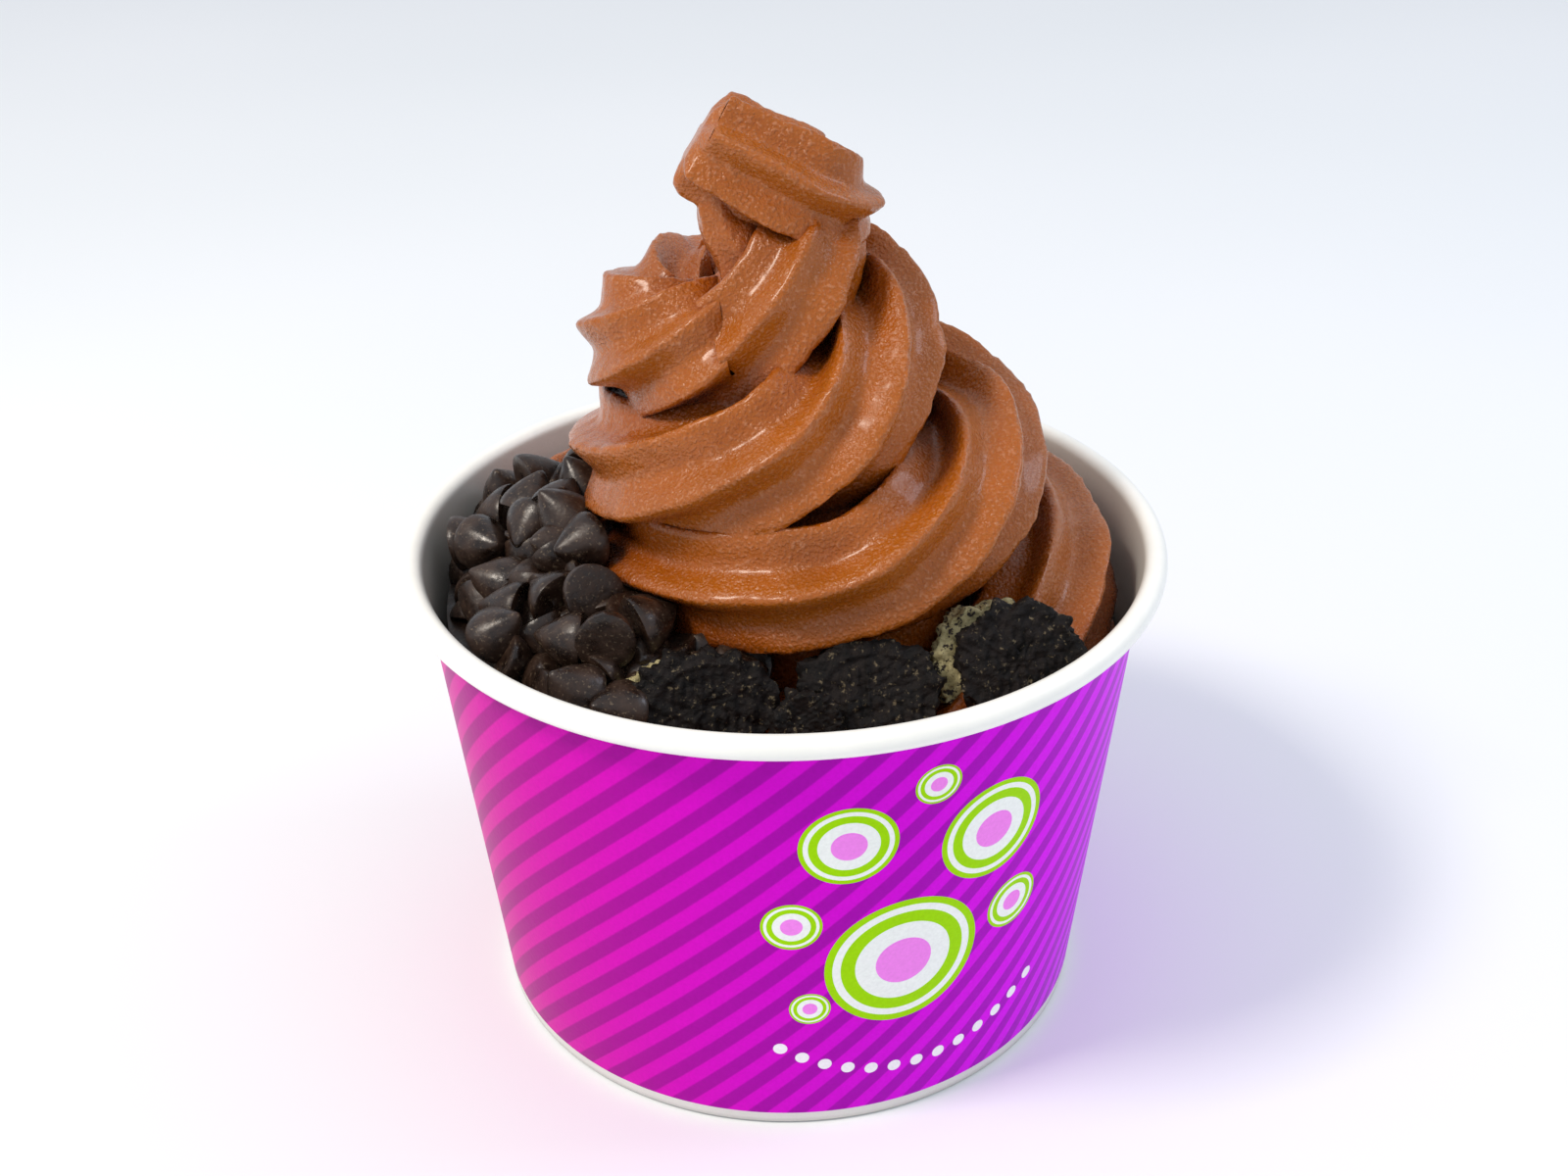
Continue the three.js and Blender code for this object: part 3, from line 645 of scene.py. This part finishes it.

# Frozen yogurt: milky chocolate ice with fine air bubbles, so light sinks in a little and
# comes out orange, and a skin of melt over tiny crystals makes broken glints. The folds get
# painted shade, darker and more orange, and the pale specks are partly frost, partly painted glints
yogurt_ice, tree, shader = new_material(
    "chocolate_frozen_yogurt", IOR=1.45, Specular_IOR_Level=0.35, Coat_Weight=0.3, Coat_Roughness=0.16,
    Subsurface_Weight=0.2, Subsurface_Scale=0.001, Subsurface_Radius=(1.0, 0.5, 0.2),
)
place = object_coordinates(tree)
painted_shade_openness = add_node(tree, "ShaderNodeAmbientOcclusion", {"samples": 6}, {"Distance": 0.009})
painted_shade_openness = painted_shade_openness.outputs["AO"]
# Painted shade: near black in deep folds, through saturated orange, to the open brown, by ambient
# occlusion within 9 mm
colour_with_painted_fold_shade = ramp(tree, painted_shade_openness, [(0.12, "#351103"), (0.42, "#9c4a04"), (0.92, "#ab5c14")])
cloud = ramp(tree, noise(tree, place, 14, 3, 0.6), [(0.3, "#e6e6e6"), (0.7, "#ffffff")])
body_colour = mix_colour(tree, 1.0, colour_with_painted_fold_shade, cloud, "MULTIPLY")
crystals = noise(tree, place, 0.5, 1, 0.5)
# Pale specks #dba584: partly frost, partly painted glints, faded out where the surface is closed in
frost_and_painted_glints = add_node(tree, "ShaderNodeMapRange", {},
                 {"Value": crystals, "From Min": 0.55, "From Max": 0.75, "To Max": 0.3})
frost_and_painted_glints = maths(tree, "MULTIPLY", frost_and_painted_glints.outputs["Result"], painted_shade_openness)
body_colour = mix_colour(tree, frost_and_painted_glints, body_colour, "#dba584")
tree.links.new(body_colour, shader.inputs["Base Color"])
pores = noise(tree, place, 2.8, 2, 0.5)
height = maths(tree, "ADD", crystals, maths(tree, "MULTIPLY", pores, 0.6))
bump(tree, shader, height, 0.3, 1.0)
gloss = add_node(tree, "ShaderNodeMapRange", {},
                 {"Value": crystals, "From Min": 0.35, "From Max": 0.65, "To Min": 0.2, "To Max": 0.4})
tree.links.new(gloss.outputs["Result"], shader.inputs["Roughness"])
yogurt.data.materials.clear()
yogurt.data.materials.append(yogurt_ice)
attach(yogurt, "root")
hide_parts("frozen_yogurt")

# The chocolate chips.
# Dark chocolate dropped on a cold belt: a flat round foot, a rounded body and a bent point,
# dusty with bloom. They lie in a heap over one core.

CHIP_RADIUS = 4.3
CHIP_HEIGHT = 7.0
CHIP_SPACING = 6.1
CHIP_COUNT = 50
HEAP = {"from": 139, "to": 264, "outer": 47, "inner": 15, "edge": 69.5, "top": 78.5, "floor": 54}


def heap_height(radius, degrees):
    """Height of the heap's core: highest half way in, falling to the wall and to both ends."""
    inward = smooth_step(HEAP["outer"] - radius, 0, 18)
    from_start = smooth_step(degrees, HEAP["from"] - 8, HEAP["from"] + 8)
    to_end = 1 - smooth_step(degrees, HEAP["to"] - 52, HEAP["to"])
    rise = HEAP["edge"] + (HEAP["top"] - HEAP["edge"]) * inward
    return 61 + (rise - 61) * np.minimum(0.55 + 0.45 * from_start, 0.3 + 0.7 * to_end)


CORE_END = 244


def heap_core():
    """Cross-sections of radius and height set round the tub from one end to the other."""
    degrees = np.linspace(HEAP["from"] + 1, CORE_END, 50)
    radius = np.linspace(HEAP["outer"] + 3, HEAP["inner"], 20)
    height = heap_height(radius[None, :], degrees[:, None]) - 4.5
    floor = np.full((len(degrees), 1), float(HEAP["floor"]))
    height = np.concatenate([floor, height, floor], axis=1)
    radius = np.concatenate([radius[:1], radius, radius[-1:]])
    turn = np.radians(degrees)[:, None]
    rings = np.stack([radius * np.cos(turn), radius * np.sin(turn), height], axis=-1)
    return rings[:, ::-1]


def make_random(seed):
    """Numbers from 0 to 1: each state is 16807 times the last one, modulo 2147483647."""
    state = seed
    while True:
        state = state * 16807 % 2147483647
        yield state / 2147483647


def place_chips():
    """Middle, tip direction and spin of each chip, by the same draws as the solids."""
    draw = make_random(20577)
    placed = []
    for _ in range(4000):
        if len(placed) >= CHIP_COUNT:
            break
        degrees = HEAP["from"] + (HEAP["to"] - HEAP["from"]) * next(draw)
        radius = math.sqrt(HEAP["inner"] ** 2
                           + (HEAP["outer"] ** 2 - HEAP["inner"] ** 2) * next(draw))
        spin = next(draw) * 2 * math.pi
        tilt = math.radians(20 + 95 * next(draw))
        lift = 2.6 * next(draw)
        middle = np.array([radius * math.cos(math.radians(degrees)),
                           radius * math.sin(math.radians(degrees)),
                           float(heap_height(radius, degrees)) + 1 + lift])
        if any(np.linalg.norm(middle - other[0]) < CHIP_SPACING for other in placed):
            continue
        tip = np.array([math.cos(spin) * math.sin(tilt), math.sin(spin) * math.sin(tilt),
                        math.cos(tilt)])
        placed.append((middle, tip, next(draw) * 2 * math.pi))
    return placed


# Width, height and sideways bend of the chip's outline from its foot to its point
CHIP_OUTLINE = np.array([
    [0.0, 0.0, 0], [0.6, 0.0, 0], [0.93, 0.0, 0], [0.985, 0.015, 0], [1.0, 0.06, 0],
    [0.985, 0.14, 0], [0.93, 0.24, 0], [0.84, 0.35, 0], [0.72, 0.47, 0], [0.59, 0.58, 0.01],
    [0.46, 0.68, 0.02], [0.33, 0.77, 0.04], [0.21, 0.85, 0.06], [0.11, 0.91, 0.09], [0.0, 0.94, 0.1],
])


def chip_mesh(middle, tip, spin, number):
    """The outline turned about the tip's direction, with a slow unevenness."""
    columns = 22
    side = np.array([math.cos(spin), math.sin(spin), 0.3])
    side = side - tip * (side @ tip)
    side /= np.linalg.norm(side)
    other = np.cross(tip, side)
    turn = np.linspace(0, 2 * np.pi, columns, endpoint=False)
    width, height, bend = (CHIP_OUTLINE[1:-1, i, None] for i in range(3))
    uneven = 1 + 0.045 * np.sin(2 * turn + number) + 0.03 * np.sin(3 * turn + 2.1 * number)
    along = (height - 0.4) * CHIP_HEIGHT + 0 * turn
    rings = (middle + along[..., None] * tip
             + (CHIP_RADIUS * (bend + width * uneven * np.cos(turn)))[..., None] * side
             + (CHIP_RADIUS * width * uneven * np.sin(turn))[..., None] * other)
    points, faces = closed_tube(rings)
    points[-2] = middle - 0.4 * CHIP_HEIGHT * tip
    points[-1] = (middle + (CHIP_OUTLINE[-1, 1] - 0.4) * CHIP_HEIGHT * tip
                  + CHIP_OUTLINE[-1, 2] * CHIP_RADIUS * side)
    return points, faces


def join_meshes(parts):
    """Points and faces of several meshes as one."""
    points, faces, count = [], [], 0
    for part_points, part_faces in parts:
        points.append(part_points)
        faces.extend([[i + count for i in face] for face in part_faces])
        count += len(part_points)
    return np.concatenate(points), faces


def lower_chips(count, depth):
    """Chips of a lower layer, depth below the ones that show, tipped every way."""
    draw = np.random.default_rng(31)
    placed = []
    for _ in range(20000):
        if len(placed) == count:
            break
        degrees = draw.uniform(HEAP["from"] + 4, HEAP["to"] - 4)
        radius = math.sqrt(draw.uniform((HEAP["inner"] + 3) ** 2, (HEAP["outer"] - 1) ** 2))
        middle = np.array([radius * math.cos(math.radians(degrees)),
                           radius * math.sin(math.radians(degrees)),
                           float(heap_height(radius, degrees)) - depth + draw.uniform(-1, 1.4)])
        if any(np.linalg.norm(middle - other[0]) < 0.72 * CHIP_SPACING for other in placed):
            continue
        tip = draw.normal(size=3)
        tip /= np.linalg.norm(tip)
        placed.append((middle, tip, draw.uniform(0, 2 * np.pi)))
    return placed


def clear_of(tree_of_faces, points, out):
    """Points moved along out in steps of 0.5 mm till none is inside, or None past 5 mm."""
    for step in range(11):
        moved = points + out * 0.5 * step
        hits = [tree_of_faces.find_nearest(point * MM) for point in moved]
        within = [(Vector(point * MM) - hit[0]).dot(hit[1]) < 0 for point, hit in zip(moved, hits)]
        if sum(within) <= len(points) * 0.06:
            return moved
    return None


# Chips past this x and y would lie on the left cookie
COOKIE_LEFT_END = (-21.5, -33)

yogurt_faces = BVHTree.FromObject(yogurt, bpy.context.evaluated_depsgraph_get())
chip_parts = []
for number, placed in enumerate(place_chips() + lower_chips(90, 2.8)):
    if placed[0][0] > COOKIE_LEFT_END[0] and placed[0][1] < COOKIE_LEFT_END[1]:
        continue
    points, faces = chip_mesh(*placed, number)
    out = np.array([placed[0][0], placed[0][1], 0])
    out /= np.linalg.norm(out)
    points = clear_of(yogurt_faces, points, out)
    if points is None:
        continue
    past_wall = np.max(np.hypot(points[:, 0], points[:, 1]) - wall_radius(points[:, 2])) + 0.3
    if past_wall < 2.5:
        chip_parts.append((points - max(past_wall, 0) * out, faces))
chip_points, chip_faces = join_meshes([closed_tube(heap_core())] + chip_parts)
chips = make_mesh("chocolate_chip_heap", chip_points, chip_faces, 40)

# Dark chocolate: near black with a soft gloss, greyed where the cocoa butter has bloomed
dark_chocolate, tree, shader = new_material("dark_chocolate", Roughness=0.4, IOR=1.46,
                                             Specular_IOR_Level=0.55)
place = object_coordinates(tree)
bloom = noise(tree, place, 3.2, 4, 0.65)
chip_colour = ramp(tree, bloom, [(0.38, "#1b100b"), (0.62, "#36251b")])
dust = noise(tree, place, 0.5, 2, 0.6)
dust = add_node(tree, "ShaderNodeMapRange", {},
                {"Value": dust, "From Min": 0.6, "From Max": 0.72, "To Max": 0.4})
chip_colour = mix_colour(tree, dust.outputs["Result"], chip_colour, "#8f7d66")
tree.links.new(chip_colour, shader.inputs["Base Color"])
gloss = add_node(tree, "ShaderNodeMapRange", {},
                 {"Value": bloom, "From Min": 0.35, "From Max": 0.65, "To Min": 0.22, "To Max": 0.5})
tree.links.new(gloss.outputs["Result"], shader.inputs["Roughness"])
bump(tree, shader, noise(tree, place, 0.8, 3), 0.12, 0.6)
chips.data.materials.append(dark_chocolate)
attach(chips, "root")
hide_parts("chocolate_chips")

# The broken cookies.
# Chocolate sandwich cookies snapped into chunks: baked cocoa wafers, pressed with raised
# lines on the face, with a layer of stiff cream between. The breaks are rough and crumbly.

COOKIES = [
    {"node": "cookie_left_front_wafer", "at": (-11, -38.2, 68.2), "heading": -79, "lean": 24,
     "width": 20.5, "height": 14, "depth": 3.2, "shift": (0, 0), "back": 0, "seed": 11},
    {"node": "cookie_left_cream", "at": (-11, -38.2, 68.2), "heading": -79, "lean": 24,
     "width": 20, "height": 12.6, "depth": 3, "shift": (-1.5, -0.4), "back": 3.54, "seed": 12},
    {"node": "cookie_left_back_wafer", "at": (-11, -38.2, 68.2), "heading": -79, "lean": 24,
     "width": 20, "height": 12.8, "depth": 3, "shift": (-2.6, -0.6), "back": 6.88, "seed": 13},
    {"node": "cookie_middle_wafer", "at": (11, -35.5, 68.4), "heading": -88, "lean": 36,
     "width": 20, "height": 13, "depth": 5, "shift": (0, 0), "back": 0, "seed": 14},
    {"node": "cookie_small_wafer", "at": (2.6, -42.3, 67.6), "heading": -84, "lean": 20,
     "width": 8.6, "height": 8, "depth": 3.6, "shift": (0, 0), "back": 0, "seed": 15},
    {"node": "cookie_right_wafer", "at": (32.2, -31, 69.8), "heading": -76, "lean": 30,
     "width": 17.2, "height": 16, "depth": 3.2, "shift": (0, 0), "back": 0, "seed": 16},
    {"node": "cookie_right_cream", "at": (32.2, -31, 69.8), "heading": -76, "lean": 30,
     "width": 17, "height": 15.4, "depth": 3.4, "shift": (-2.6, 0.4), "back": 3.54, "seed": 17},
]


def broken_outline(cookie):
    """Corners of the rough outline, by the same draws as the solids."""
    draw = make_random(cookie["seed"] * 7919)
    turn = np.arange(15) / 15 * 2 * np.pi + 0.1
    rough = 1 + 0.14 * (np.array([next(draw) for _ in turn]) - 0.5)
    x = np.sign(np.cos(turn)) * np.abs(np.cos(turn)) ** 0.72 * rough * cookie["width"] / 2
    y = np.sign(np.sin(turn)) * np.abs(np.sin(turn)) ** 0.72 * rough * cookie["height"] / 2
    return np.stack([x, y], axis=-1)


def broken_layer(cookie):
    """Pillow over the outline: back face, rounded edge, side and front face as rings that
    grow from the middle and shrink again, all pushed in and out by crumbs of 2 and 0.7 mm."""
    corners = broken_outline(cookie)
    per_side = 12
    part = (np.arange(per_side) / per_side)[None, :, None]
    outline = corners[:, None, :] * (1 - part) + np.roll(corners, -1, axis=0)[:, None, :] * part
    outline = outline.reshape(-1, 2)
    grow = np.concatenate([np.linspace(0.03, 0.93, 24), [0.97, 0.99, 1.0]])
    half = cookie["depth"] / 2
    edge = np.concatenate([np.full(24, half), [half - 0.12, half - 0.4, half - 0.8]])
    side = np.linspace(1.1 - half, half - 1.1, 5)
    grow = np.concatenate([grow, np.full(5, 1.0), grow[::-1]])
    level = np.concatenate([-edge, side, edge[::-1]])
    flat = outline[None] * grow[:, None, None] + np.array(cookie["shift"])
    rings = np.concatenate([flat, np.broadcast_to(level[:, None, None], flat.shape[:2] + (1,))],
                           axis=-1)
    points = rings
    out = np.stack([flat[..., 0] / cookie["width"], flat[..., 1] / cookie["height"],
                    level[:, None] / cookie["depth"] * 1.3 + 0 * flat[..., 0]], axis=-1)
    out /= np.linalg.norm(out, axis=-1, keepdims=True)
    nearness = np.clip((grow - 0.75) / 0.25, 0, 1)[:, None]
    lift = (0.16 + 0.3 * nearness) * soft_noise(points, 2.4, cookie["seed"])
    lift = lift + (0.07 + 0.12 * nearness) * soft_noise(points, 0.9, cookie["seed"] + 50)
    points = points + out * (lift - 0.25)[..., None]
    return points


def emboss(points, cookie):
    """Raised lines 1.35 mm apart on the front face, inside an oval line."""
    x, y, z = (points[..., i] for i in range(3))
    front = np.clip((z - cookie["depth"] / 2 + 0.7) / 0.4, 0, 1)
    oval = np.hypot((x - 1.0) / (cookie["width"] * 0.40), (y + 1.5) / (cookie["height"] * 0.5))
    lines = 0.5 + 0.5 * np.cos(2 * np.pi * x / 1.35)
    lines = 0.32 * lines * smooth_step(-oval, -0.9, -0.8)
    ring = 0.35 * np.exp(-((oval - 1.0) / 0.055) ** 2)
    points = points.copy()
    points[..., 2] += front * (lines + ring)
    return points


def placed_layer(cookie):
    points = broken_layer(cookie)
    if cookie["node"].endswith(("front_wafer", "middle_wafer", "right_wafer")):
        points = emboss(points, cookie)
    points = points - np.array([0, 0, cookie["back"] + cookie["depth"] / 2])
    heading, lean = math.radians(cookie["heading"]), math.radians(cookie["lean"])
    out = np.array([math.cos(heading), math.sin(heading), 0])
    across = np.array([-out[1], out[0], 0])
    face = out * math.cos(lean) + np.array([0, 0, math.sin(lean)])
    basis = np.stack([across, np.cross(face, across), face])
    return points @ basis + np.array(cookie["at"])


# Cocoa wafer: baked almost black, dry and matt, with paler crumbs on it
wafer_crumb, tree, shader = new_material("baked_cocoa_wafer", Roughness=0.6, IOR=1.4,
                                          Specular_IOR_Level=0.3)
place = object_coordinates(tree)
tone = noise(tree, place, 2.5, 4, 0.7)
wafer_colour = ramp(tree, tone, [(0.35, "#040303"), (0.65, "#1c1513")])
crumbs = noise(tree, place, 0.9, 3, 0.7)
crumbs = add_node(tree, "ShaderNodeMapRange", {}, {"Value": crumbs, "From Min": 0.6, "From Max": 0.7})
wafer_colour = mix_colour(tree, crumbs.outputs["Result"], wafer_colour, "#6e624c")
tree.links.new(wafer_colour, shader.inputs["Base Color"])
height = maths(tree, "ADD", noise(tree, place, 0.8, 4, 0.7), noise(tree, place, 2.2, 2))
bump(tree, shader, height, 0.5, 0.8)

# Cookie cream: stiff sugar and fat, ivory, pitted and dotted with dark crumbs
stiff_cream, tree, shader = new_material("stiff_vanilla_cream", Roughness=0.7, IOR=1.45)
place = object_coordinates(tree)
tone = noise(tree, place, 2.0, 4, 0.7)
cream_colour = ramp(tree, tone, [(0.35, "#8f8256"), (0.6, "#c4b98a")])
crumbs = noise(tree, place, 1.1, 3, 0.7)
crumbs = add_node(tree, "ShaderNodeMapRange", {}, {"Value": crumbs, "From Min": 0.53, "From Max": 0.6})
cream_colour = mix_colour(tree, crumbs.outputs["Result"], cream_colour, "#2b211c")
tree.links.new(cream_colour, shader.inputs["Base Color"])
bump(tree, shader, noise(tree, place, 0.9, 4, 0.7), 0.5, 0.8)

for cookie in COOKIES:
    points, faces = closed_tube(placed_layer(cookie))
    is_cream = cookie["node"].endswith("cream")
    layer = make_mesh(f"broken_{cookie['node']}", points, faces, 60)
    layer.data.materials.append(stiff_cream if is_cream else wafer_crumb)
    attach(layer, "root")
    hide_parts(cookie["node"])

# Bring the placed objects up to date
bpy.context.view_layer.update()
